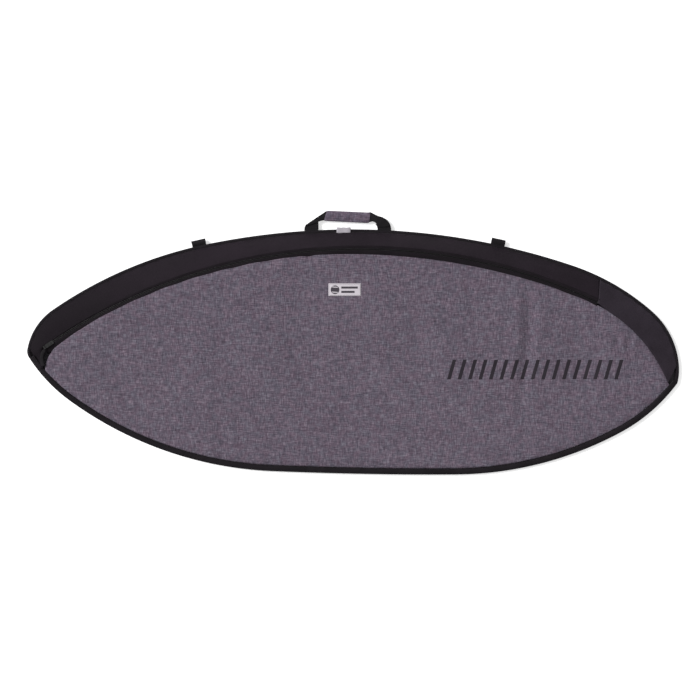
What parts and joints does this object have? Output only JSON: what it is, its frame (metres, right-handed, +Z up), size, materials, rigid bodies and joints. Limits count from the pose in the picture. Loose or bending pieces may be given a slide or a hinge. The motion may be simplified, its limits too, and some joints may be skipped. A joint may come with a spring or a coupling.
{
  "type": "surf board bag",
  "caption": "Padded surf board travel bag with a long curved zip, fold-back front flap, side carry handle and strap loops.",
  "frame": {"origin": "underside of the back panel, in the middle of the bag", "axes": "+X from nose to tail, +Y towards the zipped edge and carry handle, +Z up from the back panel through the front panel"},
  "size_m": [1.6768, 0.6794, 0.0502],
  "materials": {
    "grey_cloth": "heather woven polyester",
    "gusset_cloth": "coarse woven black",
    "black_cloth": "plain black coated weave",
    "binding": "folded grosgrain tape",
    "lining": "smooth lining",
    "foam": "closed-cell foam",
    "zip_tape": "knitted tape",
    "zip_coil": "nylon coil",
    "zip_metal": "black enamel",
    "webbing": "ribbed webbing",
    "grip_cloth": "heather wrap",
    "label": "woven label",
    "print_ink": "flat print",
    "tag_cloth": "folded tape tag"
  },
  "bodies": {
    "bag": {"back_outer": "black_cloth", "back_foam": "foam", "back_lining": "lining", "binding_top": "binding", "binding_bottom": "binding", "front_outer": "grey_cloth", "front_foam": "foam", "front_lining": "lining", "gusset_zip_section": "gusset_cloth", "gusset_tail_section": "black_cloth", "zip_tape_gusset": "zip_tape", "zip_coil_gusset": "zip_coil", "zip_tape_nose_end": "zip_tape", "zip_coil_nose_end": "zip_coil", "zip_tape_tail_end": "zip_tape", "zip_coil_tail_end": "zip_coil", "zip_stop_nose": "zip_metal", "zip_stop_tail": "zip_metal", "zip_nose_return": "zip_tape", "front_graphic": "print_ink", "seam_tag": "tag_cloth", "handle_anchor_left": "webbing", "handle_anchor_right": "webbing"},
    "front_flap": {"flap_outer": "grey_cloth", "flap_foam": "foam", "flap_lining": "lining", "zip_tape_flap": "zip_tape", "zip_coil_flap": "zip_coil", "front_label": "label"},
    "zip_slider": {"zip_slider": "zip_metal"},
    "zip_pull": {"zip_pull_frame": "zip_metal", "zip_pull_ribbon": "webbing"},
    "carry_handle": {"handle_webbing": "webbing", "handle_grip": "grip_cloth"},
    "strap_loop_left": {"strap_loop_left": "webbing"},
    "strap_loop_right": {"strap_loop_right": "webbing"}
  },
  "joints": [
    {"name": "front_flap_fold", "type": "hinge", "parent": "bag", "child": "front_flap", "pos_m": [-0.08519, 0.0959, 0.04036], "axis": [0.9966, 0.0812, 0.0103], "range_deg": [0, 160]},
    {"name": "zip_slider_travel", "type": "hinge", "parent": "bag", "child": "zip_slider", "pos_m": [0.01826, -1.1549, -0.11232], "axis": [-0.001, -0.1136, 0.9935], "range_deg": [-58.4, 0]},
    {"name": "zip_pull_swing", "type": "hinge", "parent": "zip_slider", "child": "zip_pull", "pos_m": [-0.78149, 0.01798, 0.02418], "axis": [-0.559, 0.8238, 0.0937], "range_deg": [0, 150]},
    {"name": "carry_handle_swing", "type": "hinge", "parent": "bag", "child": "carry_handle", "pos_m": [0, 0.3168, 0.008], "axis": [1, 0, 0], "range_deg": [0, 110]},
    {"name": "strap_loop_left_fold", "type": "hinge", "parent": "bag", "child": "strap_loop_left", "pos_m": [-0.39547, 0.27504, 0.008], "axis": [0.976, 0.218, 0], "range_deg": [0, 50]},
    {"name": "strap_loop_right_fold", "type": "hinge", "parent": "bag", "child": "strap_loop_right", "pos_m": [0.3724, 0.27737, 0.008], "axis": [0.9773, -0.2118, 0], "range_deg": [0, 50]}
  ]
}
